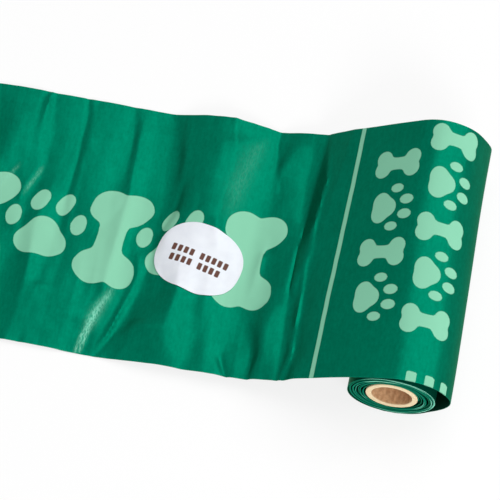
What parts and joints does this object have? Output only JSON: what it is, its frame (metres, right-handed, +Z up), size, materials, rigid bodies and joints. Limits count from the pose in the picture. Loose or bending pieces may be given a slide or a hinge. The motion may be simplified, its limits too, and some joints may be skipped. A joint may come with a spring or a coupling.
{
  "type": "roll of dog waste bags",
  "caption": "Part-used roll of folded plastic bag film on a cardboard core, lying on its side with a free strip running out flat and a small oval paper sticker on it.",
  "frame": {"origin": "on the core's axis, halfway along the roll", "axes": "+Y along the core, with the end that faces the camera at -Y; the free strip runs out towards -X; +Z up"},
  "size_m": [0.1184, 0.06, 0.02],
  "materials": {
    "cardboard": "plain brown board with a matt cut edge",
    "film": "thin glossy emerald film with pale mint print",
    "paper": "matt white paper"
  },
  "bodies": {
    "root": {"cardboard_core": "cardboard", "bag_film": "film", "sticker": "paper"}
  },
  "joints": []
}
